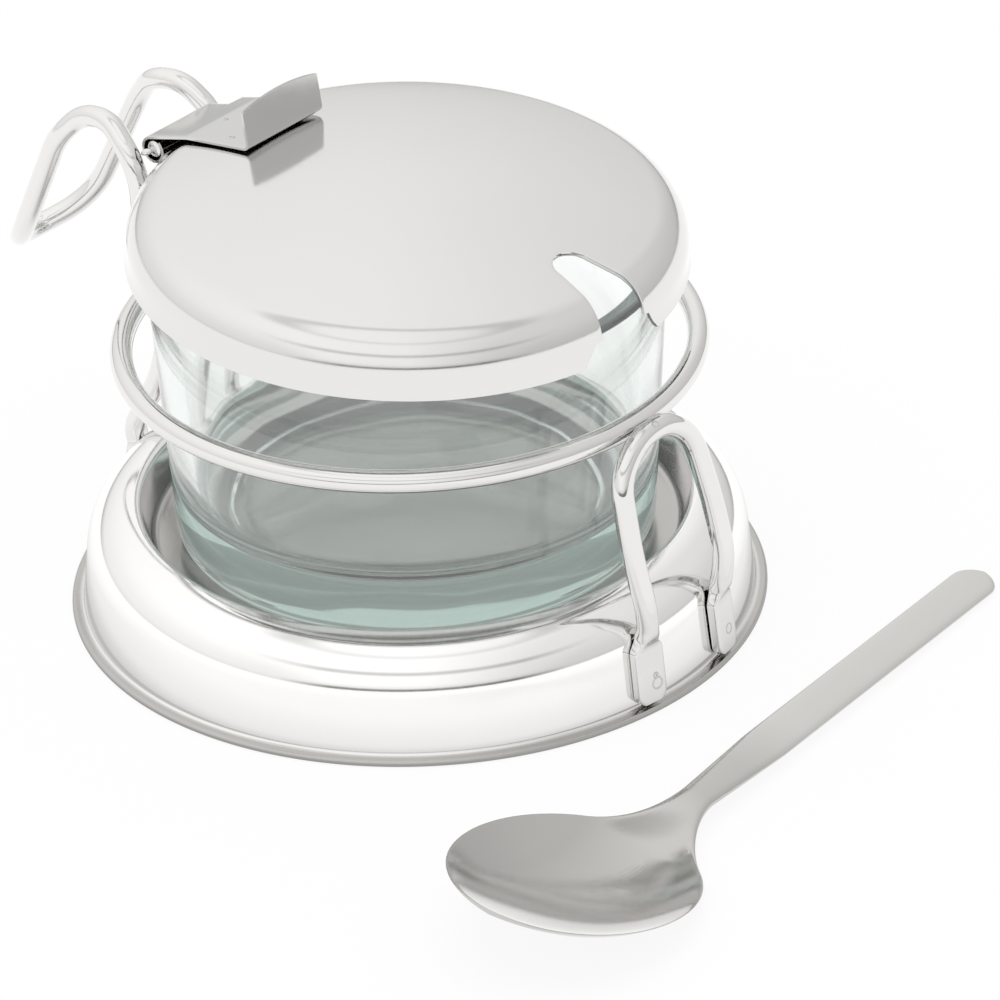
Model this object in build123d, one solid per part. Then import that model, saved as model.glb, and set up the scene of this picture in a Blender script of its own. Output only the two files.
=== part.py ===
from build123d import *
import math
import os

# Condiment server: a pressed base, a guard ring on bent wires, a glass bowl, a domed lid
# that swings on a pin between the handle's legs, and a spoon.
# Millimetres. The origin is the centre of the base's underside, +Z is up, the front is -Y.

# Glass bowl, standing in the base's well
bowl_base_radius = 46.1
bowl_taper = 3.7
bowl_rim_radius = bowl_base_radius + bowl_taper
bowl_height = 59.1
bowl_wall = 3.8
bowl_base_thickness = 10.5
bowl_corner = 4.5
bowl_inner_corner = 7.0
bowl_rim_round = 1.2
bowl_recess_edge = 10.1
bowl_recess = 0.6
bowl_seat_gap = 0.1

# Base, one pressed sheet with its rim folded under, from the well outwards
base_sheet = 0.7
well_height = 14.3
well_clearance = 4.9
well_bend = 1.5
well_radius = bowl_base_radius + well_clearance
crest_run = 2.4
crest_rise = 7.9
crest_bend = 0.9
crest_radius = well_radius + crest_run
crest_height = well_height + crest_rise
shoulder_run = 9.6
shoulder_fall = 1.0
shoulder_bend = 10.0
shoulder_radius = crest_radius + shoulder_run
shoulder_height = crest_height - shoulder_fall
cone_run = 2.2
cone_foot_bend = 0.5
cone_foot_radius = shoulder_radius + cone_run
flange_run = 2.3
base_radius = cone_foot_radius + flange_run
rim_width = 2.4
rim_round = 0.65
bowl_rim_height = well_height + bowl_seat_gap + bowl_height

# Guard ring round the bowl, bent from round wire
ring_clearance = 5.3
ring_radius = bowl_rim_radius + ring_clearance
ring_height = 54.5
ring_wire_radius = 2.25

# Wires of the handle and the front bracket, and their flattened feet on the base's cone
wire_radius = 2.15
weld_gap = 0.05
bend_share = 0.45
foot_width = 7.0
foot_thickness = 2.2
foot_length = 12.2
foot_low = 1.9
foot_corner = 2.4
foot_edge_share = 0.45
neck_length = 4.2
neck_step = 0.06
leg_gap = 0.35

# Front bracket: half its width at the widest, its foot, and how far it leans and turns
bracket_half_width = 12.6
bracket_foot_offset = 11.5
bracket_swell = 5.3
bracket_lean = 6.2
bracket_turn = 3.9
bracket_route_shares = [
    (0.98, 1.04, 0.440),
    (1.00, 0.66, 0.622),
    (0.88, 0.11, 0.893),
    (0.36, 0.00, 1.000),
]

# Lid: a shallow dome, a rounded shoulder and a short skirt with a flared lip
lid_clearance = 3.5
lid_side_radius = bowl_rim_radius + lid_clearance
lip_flare = 0.3
lid_lip_radius = lid_side_radius + lip_flare
lid_lip_height = 2.4
lid_sheet = 0.8
dome_radius = 200.0
dome_rise = 17.55
lid_shoulder_bend = 8.0
lid_lap = 1.08
lid_height = bowl_rim_height - lid_lap
lid_setback = 0.42
lid_tilt = 2.96

# Spoon notch in the lid's front edge
notch_length = 16.5
notch_tip_reach = lid_side_radius - notch_length
notch_tip_radius = 4.0
notch_half_width = 6.3
notch_flare = 4.4
notch_flare_height = 7.0
notch_flare_bulge = 0.38

# Hinge behind the lid: the pin in its curl, and a weld bead from each end of the pin to a leg
pin_radius = 2.1
pin_setback = 2.0
pin_rise = 9.68
pin_reach = lid_side_radius + pin_setback
pin_height = lid_height + pin_rise
pin_proud = 0.1
bead_radius = 1.3
curl_half_length = 8.82
leg_standoff = 3.53
hinge_half_width = 11.72
hinge_shift = -1.23

# Handle: two legs behind the ring, an arch above the hinge and a grip that hangs behind
handle_half_width = 12.4
handle_foot_offset = 9.6
handle_reach = 42.3
handle_drop = 41.6
leg_lean = 24.0
leg_run_below = 5.1
leg_run_above = 1.0
leg_route_shares = [(0.48, -0.01, 0.587), (0.36, 0.005, 0.963), (0.93, -0.05, 1.193)]
grip_route_shares = [
    (0.85, 0.151, 0.000),
    (0.80, 0.331, 0.026),
    (0.96, 0.459, 0.166),
    (0.85, 0.771, 0.800),
    (0.00, 1.045, 1.000),
]
arch_rise = 3.4

# Thumb plate: a curl round the pin, a plate welded on the dome, and a flap
plate_half_width = 10.65
plate_sheet = 0.65
plate_gap = 0.3
plate_bend = 6.0
pin_play = 0.06
curl_sweep = 303.0
corner_notch_reach = 5.4
plate_length = 25.5
fold_reach = pin_reach - plate_length
fold_bend = 0.8
flap_height = 9.1
flap_lean = 8.5
flap_corner_drop = 1.3

# Spoon: a strap handle, a waist and an oval cup, lying in front of the base
spoon_end = (67.0, -86.3)
spoon_bearing = 185.3
spoon_roll = -8.3
strap_width = 9.1
strap_thickness = 1.5
strap_length = 78.0
waist_width = 6.8
waist_thickness = 2.2
waist_place = 100.0
neck_rise = 2.6
cup_centre = 141.2
cup_half_length = 29.2
cup_half_width = 21.3
cup_depth = 7.0
cup_sheet = 1.1
cup_pitch = 15.4
crown_share = 0.12
edge_share = 0.8
back_share = 0.8
strap_shares = [0.0, 0.78, 1.0]
neck_shares = [0.25, 0.5, 0.75]
cup_shares = [-0.8, -0.6, -0.3, 0.0, 0.3, 0.6, 0.8, 0.92, 0.98, 0.997]
table_gap = 0.05

overrun = 2.0


def mitred(points, shift):
    """The corner points of a path moved to its left by one distance."""
    lines = []
    for start, end in zip(points, points[1:]):
        length = math.dist(start, end)
        left = ((start[1] - end[1]) / length, (end[0] - start[0]) / length)
        near = [start[i] + shift * left[i] for i in (0, 1)]
        far = [end[i] + shift * left[i] for i in (0, 1)]
        lines.append((near, far))
    moved = [tuple(lines[0][0])]
    for (a, b), (c, d) in zip(lines, lines[1:]):
        u = (b[0] - a[0], b[1] - a[1])
        v = (d[0] - c[0], d[1] - c[1])
        along = ((c[0] - a[0]) * v[1] - (c[1] - a[1]) * v[0]) / (u[0] * v[1] - u[1] * v[0])
        moved.append((a[0] + along * u[0], a[1] + along * u[1]))
    moved.append(tuple(lines[-1][1]))
    return moved


def sheet_face(points, bends, sheet):
    """A bent sheet's section: one skin through the points, the other a sheet to its left."""
    near_radii = []
    far_radii = []
    for before, corner, after, bend in zip(points, points[1:], points[2:], bends):
        u = (corner[0] - before[0], corner[1] - before[1])
        v = (after[0] - corner[0], after[1] - corner[1])
        turns_left = u[0] * v[1] - u[1] * v[0] > 0
        near_radii.append(bend + sheet if turns_left else bend)
        far_radii.append(bend if turns_left else bend + sheet)
    near = FilletPolyline(*points, radius=near_radii)
    far = FilletPolyline(*mitred(points, sheet), radius=far_radii)
    return make_face([near, far, Line(near @ 0, far @ 0), Line(near @ 1, far @ 1)])


def rim_height():
    """The base's rim is two sheets thick."""
    return 2 * base_sheet


def cone_radius(height):
    """The outer radius of the base's cone at a height."""
    share = (height - rim_height()) / (shoulder_height - rim_height())
    return cone_foot_radius + share * (shoulder_radius - cone_foot_radius)


def cone_lean():
    """The cone's lean from the vertical, in degrees."""
    return math.degrees(math.atan2(cone_foot_radius - shoulder_radius, shoulder_height - rim_height()))


def base_stand():
    """The pressed base: folded rim, cone, rounded shoulder, crest and flat well."""
    skin = [
        (base_radius - rim_height() / 2, rim_height()),
        (cone_foot_radius, rim_height()),
        (shoulder_radius, shoulder_height),
        (crest_radius, crest_height),
        (well_radius, well_height),
        (0, well_height),
    ]
    bends = [cone_foot_bend, shoulder_bend, crest_bend, well_bend]
    pressing = sheet_face(skin, bends, base_sheet)
    rim = RectangleRounded(rim_width, rim_height(), rim_round)
    folded = Pos(base_radius - rim_width / 2, rim_height() / 2) * rim
    return revolve(Plane.XZ * (pressing + folded), Axis.Z)


def guard_ring():
    """The closed ring round the bowl."""
    return Pos(0, 0, ring_height) * Torus(ring_radius, ring_wire_radius)


def ring_seat():
    """The reach at which a wire's centre line touches the ring from outside."""
    return ring_radius + ring_wire_radius + weld_gap + wire_radius


def foot_top():
    """The height at which a foot's neck has become round wire."""
    return foot_low + (foot_length + neck_length) * math.cos(math.radians(cone_lean()))


def leg_start(offset):
    """The centre of the round wire just above a foot in front of the base."""
    reach = cone_radius(foot_top()) + leg_gap + wire_radius
    angle = math.asin(offset / reach)
    return Vector(reach * math.sin(angle), -reach * math.cos(angle), foot_top())


def foot(offset, leg):
    """A flattened wire end that lies on the cone, and the neck that rounds it into the leg."""
    angle = math.asin(offset / cone_radius(foot_low))
    outward = Vector(math.sin(angle), -math.cos(angle), 0)
    across = Vector(math.cos(angle), math.sin(angle), 0)
    lean = math.radians(cone_lean())
    normal = outward * math.cos(lean) + Vector(0, 0, math.sin(lean))
    up = normal.cross(across)
    seat = outward * cone_radius(foot_low) + Vector(0, 0, foot_low)
    middle = seat + normal * (weld_gap + foot_thickness / 2)
    top = Plane(origin=middle + up * foot_length, x_dir=across, z_dir=up)
    flat = top * RectangleRounded(foot_width, foot_thickness, foot_edge_share * foot_thickness)
    outline = Pos(0, foot_length / 2) * Rectangle(foot_width, foot_length)
    outline = fillet(outline.vertices().sort_by(Axis.Y)[:2], foot_corner)
    block = extrude(Plane(origin=middle, x_dir=across, z_dir=normal) * outline, foot_thickness, both=True)
    paddle = extrude(flat, -foot_length) & block
    leg_face = Plane(origin=leg @ 0, x_dir=across, z_dir=leg % 0)
    collar = 2 * (wire_radius + neck_step)
    round_end = leg_face * RectangleRounded(collar, collar, wire_radius)
    return paddle + loft([flat.face(), round_end.face()])


def wire_path(points):
    """Straight runs joined by arcs as large as the runs allow."""
    radii = []
    for before, corner, after in zip(points, points[1:], points[2:]):
        turn = (corner - before).get_angle(after - corner)
        shorter = min((corner - before).length, (after - corner).length)
        radii.append(bend_share * shorter / math.tan(math.radians(turn) / 2))
    return FilletPolyline(*points, radius=radii)


def mirrored(points):
    """The same points on the other side of the middle plane, in reverse order."""
    return [Vector(-p.X, p.Y, p.Z) for p in reversed(points)]


def bent_wire(path):
    """Round wire along a path."""
    return sweep(Plane(origin=path @ 0, z_dir=path % 0) * Circle(wire_radius), path=path)


def wire_on_feet(points, offset):
    """A wire whose two ends are flattened and lie on the front of the cone."""
    path = wire_path(points)
    back_path = wire_path(list(reversed(points)))
    return bent_wire(path) + foot(offset, path) + foot(-offset, back_path)


def front_bracket():
    """The arched wire that carries the ring's front."""
    start = leg_start(bracket_foot_offset)
    half = [start]
    for width, swell, height in bracket_route_shares:
        reach = ring_seat() + swell * bracket_swell
        half.append(Vector(width * bracket_half_width, -reach, height * ring_height))
    lean = math.tan(math.radians(bracket_lean))
    upright = half + mirrored(half)
    route = [Vector(p.X - lean * (p.Z - start.Z), p.Y, p.Z) for p in upright]
    return Rot(0, 0, bracket_turn) * wire_on_feet(route, bracket_foot_offset)


def handle_side(half_width):
    """Places along one half of the handle, whose leg passes the pin at a half width."""
    start = leg_start(handle_foot_offset)
    side = [Vector(start.X, -start.Y, start.Z)]
    for width, swell, height in leg_route_shares:
        reach = ring_seat() + swell * handle_reach
        side.append(Vector(width * handle_half_width, reach, height * ring_height))
    lean = math.radians(leg_lean)
    reach = pin_reach + leg_standoff * math.cos(lean)
    touch = Vector(half_width, reach, pin_height - leg_standoff * math.sin(lean))
    along = Vector(0, math.sin(lean), math.cos(lean))
    side.append(touch - along * leg_run_below)
    side.append(touch + along * leg_run_above)
    for width, reach, drop in grip_route_shares:
        place = ring_seat() + reach * handle_reach
        height = pin_height + arch_rise - drop * handle_drop
        side.append(Vector(width * handle_half_width, place, height))
    return side


def handle_frame():
    """Two legs that pass the ring and the pin, an arch and a hanging grip, in one wire."""
    far_side = handle_side(hinge_half_width + hinge_shift)
    near_side = handle_side(hinge_half_width - hinge_shift)
    route = far_side + mirrored(near_side[:-1])
    turned = [Vector(-p.X, -p.Y, p.Z) for p in route]
    return Rot(0, 0, 180) * wire_on_feet(list(reversed(turned)), handle_foot_offset)


def hinge_pin():
    """The pin that the lid swings on, and the beads that weld its ends to the legs."""
    half = curl_half_length + pin_proud
    lean = math.radians(leg_lean)
    spare = math.hypot(hinge_half_width - half, leg_standoff)
    share = 1 - (wire_radius + weld_gap + bead_radius) / spare
    across = half + share * (hinge_half_width - half)
    back = share * leg_standoff
    pin = Rot(0, 90, 0) * Cylinder(pin_radius, 2 * half)
    for side in (-1, 1):
        pin += Pos(side * across, back * math.cos(lean), -back * math.sin(lean)) * Sphere(bead_radius)
    return Pos(hinge_shift, pin_reach, pin_height) * pin


def glass_bowl():
    """The bowl: a thick base with a shallow recess beneath, a tapered wall and an eased rim."""
    low = well_height + bowl_seat_gap
    inside_base = bowl_base_radius - bowl_wall
    section = [
        (0, low + bowl_recess),
        (bowl_base_radius - bowl_recess_edge, low + bowl_recess),
        (bowl_base_radius - bowl_recess_edge + bowl_rim_round, low),
        (bowl_base_radius, low),
        (bowl_rim_radius, bowl_rim_height),
        (bowl_rim_radius - bowl_wall, bowl_rim_height),
        (inside_base, low + bowl_base_thickness),
        (0, low + bowl_base_thickness),
    ]
    rounds = [bowl_recess, bowl_recess, bowl_corner, bowl_rim_round, bowl_rim_round, bowl_inner_corner]
    wall = FilletPolyline(*section, radius=rounds)
    return revolve(Plane.XZ * make_face([wall, Line(wall @ 0, wall @ 1)]), Axis.Z)


def dome_centre():
    """The height of the dome's centre in the lid's own frame."""
    return dome_rise - dome_radius


def shoulder_centre():
    """The shoulder's centre: its round touches the lid's side and the dome from inside."""
    across = lid_side_radius - lid_shoulder_bend
    return across, dome_centre() + math.sqrt((dome_radius - lid_shoulder_bend) ** 2 - across**2)


def shoulder_angle():
    """The angle above the horizontal at which the shoulder meets the dome."""
    across, height = shoulder_centre()
    return math.degrees(math.atan2(height - dome_centre(), across))


def lid_skin(inset):
    """The lid's outline from lip to top, moved in by one distance."""
    across, height = shoulder_centre()
    angle = shoulder_angle()
    side = lid_side_radius - inset
    return [
        Line((lid_lip_radius - inset, 0), (side, lid_lip_height)),
        Line((side, lid_lip_height), (side, height)),
        CenterArc((across, height), lid_shoulder_bend - inset, 0, angle),
        CenterArc((0, dome_centre()), dome_radius - inset, angle, 90 - angle),
    ]


def notch_cutters():
    """The notch from above, with a round tip, and its flare through the skirt from the front."""
    tip_centre = -(notch_tip_reach + notch_tip_radius)
    mouth = -(lid_lip_radius + overrun)
    side = -shoulder_centre()[0] - lid_shoulder_bend
    left = Line((-notch_tip_radius, tip_centre), (-notch_half_width, side))
    right = Line((notch_half_width, side), (notch_tip_radius, tip_centre))
    corners = [(-notch_half_width, mouth), (notch_half_width, mouth)]
    outline = [
        left,
        Polyline(left @ 1, *corners, right @ 0),
        right,
        CenterArc((0, tip_centre), notch_tip_radius, 0, 180),
    ]
    slot = extrude(make_face(outline), dome_rise + overrun)
    wide = notch_half_width + notch_flare
    middle = (notch_half_width + notch_flare / 2, notch_flare_height / 2)
    length = math.hypot(notch_flare, notch_flare_height)
    inward = (notch_flare_height / length * notch_flare_bulge, notch_flare / length * notch_flare_bulge)
    bulge = (middle[0] - inward[0], middle[1] - inward[1])
    flare = [
        ThreePointArc((wide, 0), bulge, (notch_half_width, notch_flare_height)),
        Line((notch_half_width, notch_flare_height), (-notch_half_width, notch_flare_height)),
        ThreePointArc((-notch_half_width, notch_flare_height), (-bulge[0], bulge[1]), (-wide, 0)),
        Polyline((-wide, 0), (-wide, -overrun), (wide, -overrun), (wide, 0)),
    ]
    mouth_cut = extrude(Plane.XZ * make_face(flare), lid_lip_radius + overrun)
    return slot, mouth_cut


def lid_place():
    """Where the closed lid sits: tipped forward, just above the bowl."""
    return Pos(0, -lid_setback, lid_height) * Rot(lid_tilt, 0, 0)


def lid_cover():
    """The domed lid with its spoon notch."""
    outer = lid_skin(0)
    inner = lid_skin(lid_sheet)
    ends = [Line(outer[0] @ 0, inner[0] @ 0), Line(outer[-1] @ 1, inner[-1] @ 1)]
    shell = revolve(Plane.XZ * make_face(outer + inner + ends), Axis.Z)
    slot, mouth_cut = notch_cutters()
    return lid_place() * (shell - slot - mouth_cut)


def plate_height(reach):
    """The height of the plate's underside where it touches down on the dome at a reach."""
    centre = (lid_place() * Pos(0, 0, dome_centre())).position
    return centre.Z + math.sqrt((dome_radius + plate_gap) ** 2 - (reach - centre.Y) ** 2)


def dome_edge():
    """The reach, behind the dome's top, at which the dome passes into the shoulder."""
    angle = math.radians(shoulder_angle())
    height = dome_centre() + dome_radius * math.sin(angle)
    return (lid_place() * Pos(0, dome_radius * math.cos(angle), height)).position.Y


def curl_entry():
    """The point where the plate's underside runs into the curl, and the curl's first angle."""
    across = pin_reach - dome_edge()
    fall = plate_height(dome_edge()) - pin_height
    inner = pin_radius + pin_play
    slope = math.atan2(fall, across) - math.asin(inner / math.hypot(across, fall))
    angle = math.pi / 2 - slope
    return (pin_reach + inner * math.cos(angle), pin_height + inner * math.sin(angle)), angle


def curl_face(angle):
    """The curl's section: most of a ring round the pin, open in front under the plate."""
    inner = CenterArc((pin_reach, pin_height), pin_radius + pin_play, angle, -curl_sweep)
    outer = CenterArc((pin_reach, pin_height), pin_radius + pin_play + plate_sheet, angle, -curl_sweep)
    return make_face([inner, outer, Line(inner @ 0, outer @ 0), Line(inner @ 1, outer @ 1)])


def thumb_plate():
    """One sheet: a curl round the pin, a plate welded on the dome and an upright flap."""
    fold = (fold_reach, plate_height(fold_reach))
    entry, angle = curl_entry()
    top = fold[1] + flap_height
    flap_end = (fold[0] + flap_height * math.tan(math.radians(flap_lean)), top)
    route = [flap_end, fold, (dome_edge(), plate_height(dome_edge())), entry]
    sheet = sheet_face(route, [fold_bend, plate_bend], plate_sheet)
    plate = extrude(Plane.YZ * sheet, plate_half_width, both=True)
    wide = plate_half_width + overrun
    low = top - flap_corner_drop
    arch = ThreePointArc((-wide, low), (0, top), (wide, low))
    above = Polyline(arch @ 1, (wide, top + overrun), (-wide, top + overrun), arch @ 0)
    plate -= extrude(Plane.XZ * make_face([arch, above]), -pin_reach)
    plate = Pos(hinge_shift - curl_half_length + plate_half_width, 0) * plate
    corner = Rectangle(2 * plate_half_width, 2 * corner_notch_reach)
    notch_place = Pos(hinge_shift + curl_half_length + plate_half_width, pin_reach)
    plate -= extrude(notch_place * corner, 2 * pin_height)
    curl = extrude(Plane.YZ * curl_face(math.degrees(angle)), curl_half_length, both=True)
    return plate + Pos(hinge_shift, 0) * curl


def cup_lift():
    """The height of the cup's rim centre when the cup's underside rests on the table."""
    tip_rise = cup_half_length * math.sin(math.radians(cup_pitch))
    drop = (cup_depth + cup_sheet) * math.cos(math.radians(cup_pitch))
    return table_gap + drop + tip_rise**2 / (4 * drop)


def spoon_section(place, half_width, top, hollow, thickness):
    """One closed slice across the spoon: a top curve, a bottom curve and two narrow edges."""
    edge = thickness * edge_share
    left = (-half_width, top)
    right = (half_width, top)
    upper = ThreePointArc(left, (0, top - hollow), right)
    bottom = (0, top - hollow - thickness)
    lower = ThreePointArc((half_width, top - edge), bottom, (-half_width, top - edge))
    section = make_face([upper, lower, Line(upper @ 1, lower @ 0), Line(lower @ 1, upper @ 0)])
    return (Plane.YZ.offset(place) * section).face()


def strap_sections():
    """Slices of the strap handle from its end to the waist."""
    sections = []
    for share in strap_shares:
        place = share * waist_place
        slimmed = max(0, place - strap_length) / (waist_place - strap_length)
        width = strap_width + slimmed * (waist_width - strap_width)
        thickness = strap_thickness + slimmed * (waist_thickness - strap_thickness)
        middle = table_gap + strap_thickness / 2 + share * neck_rise
        top = middle + thickness * edge_share / 2
        crown = crown_share * thickness
        sections.append(spoon_section(place, width / 2, top, -crown, thickness - crown))
    return sections


def cup_slice(share):
    """Place, half width, rim height and hollow of the cup at a share of its half length."""
    pitch = math.radians(cup_pitch)
    place = cup_centre + share * cup_half_length * math.cos(pitch)
    top = cup_lift() + share * cup_half_length * math.sin(pitch)
    rounded = 1 - share**2
    return place, cup_half_width * math.sqrt(rounded), top, cup_depth * rounded * math.cos(pitch)


def neck_sections():
    """Slices that widen from the waist into the back of the cup."""
    place, width, top, hollow = cup_slice(-back_share)
    widening = cup_half_width * back_share / math.sqrt(1 - back_share**2) / cup_half_length
    run = place - waist_place
    waist_top = table_gap + strap_thickness / 2 + neck_rise + waist_thickness * edge_share / 2
    sections = []
    for share in neck_shares:
        ease = share**2 * (3 - 2 * share)
        half = waist_width / 2 + ease * (width - waist_width / 2)
        half += share**2 * (share - 1) * run * widening
        sheet = waist_thickness + ease * (cup_sheet - waist_thickness)
        dish = -crown_share * waist_thickness + share**2 * (hollow + crown_share * waist_thickness)
        height = waist_top + ease * (top - waist_top)
        sections.append(spoon_section(waist_place + share * run, half, height, dish, sheet))
    return sections


def cup_sections():
    """Slices of the oval cup, closer together towards its tip."""
    sections = []
    for share in cup_shares:
        place, half, top, hollow = cup_slice(share)
        sections.append(spoon_section(place, half, top, hollow, cup_sheet))
    return sections


def spoon():
    """The whole spoon, rolled a little to one side and laid on the table."""
    strap = strap_sections()
    body = loft(strap, ruled=True) + loft(strap[-1:] + neck_sections() + cup_sections())
    rounded = Pos(strap_width / 2, 0) * Circle(strap_width / 2)
    reach = cup_centre + cup_half_length
    rest = Pos(strap_width / 2 + reach / 2, 0) * Rectangle(reach, 2 * reach)
    outline = extrude(rounded + rest, reach)
    laid = Rot(spoon_roll, 0, 0) * (body & outline)
    settled = Pos(0, 0, table_gap - laid.bounding_box().min.Z) * laid
    return Pos(spoon_end[0], spoon_end[1], 0) * Rot(0, 0, spoon_bearing) * settled


if __name__ == "__main__":
    os.makedirs("parts", exist_ok=True)
    makers = [
        base_stand,
        guard_ring,
        front_bracket,
        handle_frame,
        hinge_pin,
        glass_bowl,
        lid_cover,
        thumb_plate,
        spoon,
    ]
    for maker in makers:
        export_step(maker(), f"parts/{maker.__name__}.step")
        print(maker.__name__)
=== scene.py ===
# %% [markdown]
# # A glass condiment server with a hinged lid
# A server like this holds grated cheese or sugar at the table. A glass bowl stands in a pressed
# steel base, a ring on bent wires guards it, and a domed lid swings up on a pin at the back.
# We load the CAD model as a fixed frame, and dress each of its parts with a finer surface
# worked out with numpy. All lengths below are in millimetres until they go into a mesh.

import bmesh
import bpy
import numpy as np
from mathutils import Matrix, Vector


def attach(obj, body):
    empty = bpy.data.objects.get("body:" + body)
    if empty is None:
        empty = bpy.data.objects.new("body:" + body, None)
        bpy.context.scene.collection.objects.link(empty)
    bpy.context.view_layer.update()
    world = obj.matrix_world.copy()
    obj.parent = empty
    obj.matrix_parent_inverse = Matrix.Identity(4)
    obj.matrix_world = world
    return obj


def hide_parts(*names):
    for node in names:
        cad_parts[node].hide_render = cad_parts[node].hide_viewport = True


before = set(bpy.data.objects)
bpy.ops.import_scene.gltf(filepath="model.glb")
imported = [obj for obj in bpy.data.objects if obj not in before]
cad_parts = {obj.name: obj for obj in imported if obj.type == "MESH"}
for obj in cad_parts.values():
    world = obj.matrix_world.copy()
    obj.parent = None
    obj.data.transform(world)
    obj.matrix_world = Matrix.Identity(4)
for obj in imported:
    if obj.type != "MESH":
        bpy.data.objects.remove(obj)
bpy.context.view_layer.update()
MM = 0.001
print("parts in the frame:", ", ".join(sorted(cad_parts)))

# %% [markdown]
# ## The camera
# The photograph was measured on its round rims: a circle seen from one side becomes an ellipse,
# and three of them fix the viewing angle, the roll and the distance. The server is turned by
# 48 degrees to the camera, and the camera looks down on it by 29 degrees from 1.45 m away.

# %% Place the camera
# Angles are in radians and distances in millimetres.
CAMERA_TURN = np.radians(-48.0)
CAMERA_DISTANCE = 1450.0
CAMERA_PITCH = 0.50570
CAMERA_ROLL = 0.042516
CAMERA_PAN = (-0.011041, -0.013019)
FOCAL_PIXELS = 7563.37
IMAGE_PIXELS = 1000
AIM_HEIGHT = 40.0
SENSOR = 36.0
CLIP_END = 20000.0


def turned(vector, axis, angle):
    """Turns a vector about an axis: v cos a + (axis x v) sin a + axis (axis . v)(1 - cos a)."""
    cross = np.cross(axis, vector)
    along = axis * np.dot(axis, vector)
    return vector * np.cos(angle) + cross * np.sin(angle) + along * (1 - np.cos(angle))


def place_camera():
    """Looks at the aim point, then pans, tilts and rolls by the small measured angles."""
    right = np.array([1.0, 0.0, 0.0])
    ahead = np.array([0.0, np.cos(CAMERA_PITCH), -np.sin(CAMERA_PITCH)])
    up = np.cross(right, ahead)
    place = np.array([0.0, 0.0, AIM_HEIGHT]) - CAMERA_DISTANCE * ahead
    right, ahead = turned(right, up, CAMERA_PAN[0]), turned(ahead, up, CAMERA_PAN[0])
    up, ahead = turned(up, right, CAMERA_PAN[1]), turned(ahead, right, CAMERA_PAN[1])
    right, up = turned(right, ahead, CAMERA_ROLL), turned(up, ahead, CAMERA_ROLL)
    axes = [turned(v, np.array([0.0, 0.0, 1.0]), CAMERA_TURN) for v in (right, up, -ahead, place)]
    matrix = np.eye(4)
    matrix[:3, :3] = np.array(axes[:3]).T
    matrix[:3, 3] = axes[3] * MM
    data = bpy.data.cameras.new("camera")
    data.sensor_width = SENSOR
    data.sensor_fit = "HORIZONTAL"
    data.lens = FOCAL_PIXELS / IMAGE_PIXELS * SENSOR
    data.clip_end = CLIP_END * MM
    camera = bpy.data.objects.new("camera", data)
    camera.matrix_world = Matrix(matrix.tolist())
    bpy.context.scene.collection.objects.link(camera)
    bpy.context.scene.camera = camera
    print("camera at", np.round(axes[3], 1), "mm, lens", round(data.lens, 1), "mm")


place_camera()

# %% [markdown]
# ## Tools for surfaces
# Almost every part here is a section carried along a line: a profile round an axis, or a wire's
# outline along its route. So we need few tools: one that rounds a route's corners, one that
# turns a grid of points into a mesh, and one that follows a route without twisting.

# %% Meshes from grids of points
def make_piece(name, points, faces, material, body, node=None, sharp=35.0):
    """One piece from points in millimetres, riding on its body and standing for its node. Edges
    that turn by more than the sharp angle in degrees aren't smoothed."""
    mesh = bpy.data.meshes.new(name)
    mesh.from_pydata((np.asarray(points) * MM).tolist(), [], [list(face) for face in faces])
    work = bmesh.new()
    work.from_mesh(mesh)
    bmesh.ops.remove_doubles(work, verts=work.verts, dist=1e-7)
    bmesh.ops.dissolve_degenerate(work, edges=work.edges, dist=1e-8)
    bmesh.ops.recalc_face_normals(work, faces=work.faces)
    work.to_mesh(mesh)
    work.free()
    mesh.shade_smooth()
    mesh.set_sharp_from_angle(angle=np.radians(sharp))
    mesh.materials.append(material)
    piece = bpy.data.objects.new(name, mesh)
    bpy.context.scene.collection.objects.link(piece)
    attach(piece, body)
    if node:
        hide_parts(node)
    print(name, "has", len(mesh.polygons), "faces")
    return piece


def grid_faces(rows, columns, wrap_rows=False, wrap_columns=False):
    """Quads between neighbouring points of a grid, closed round where asked."""
    index = np.arange(rows * columns).reshape(rows, columns)
    if wrap_rows:
        index = np.vstack([index, index[:1]])
    if wrap_columns:
        index = np.hstack([index, index[:, :1]])
    corners = [index[:-1, :-1], index[:-1, 1:], index[1:, 1:], index[1:, :-1]]
    return np.stack(corners, axis=-1).reshape(-1, 4).tolist()


def joined(grids):
    """Grids as one mesh. Each comes with the ways in which it closes: rows, columns, both or none."""
    points, faces = [], []
    for grid, closes in grids:
        start = sum(len(part) for part in points)
        quads = grid_faces(*grid.shape[:2], "rows" in closes, "columns" in closes)
        faces += (np.array(quads) + start).tolist()
        points.append(grid.reshape(-1, 3))
    return np.vstack(points), faces


def capped_tube(rings):
    """Points and faces of closed rings along a line, each end closed by a fan to its middle."""
    rows, columns = rings.shape[:2]
    points = np.vstack([rings.reshape(-1, 3), rings[:1].mean(axis=1), rings[-1:].mean(axis=1)])
    faces = grid_faces(rows, columns, wrap_columns=True)
    start, end = rows * columns, rows * columns + 1
    around = np.arange(columns)
    after = (around + 1) % columns
    faces += [[start, b, a] for a, b in zip(around.tolist(), after.tolist())]
    last = (rows - 1) * columns
    faces += [[end, last + a, last + b] for a, b in zip(around.tolist(), after.tolist())]
    return points, faces

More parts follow.
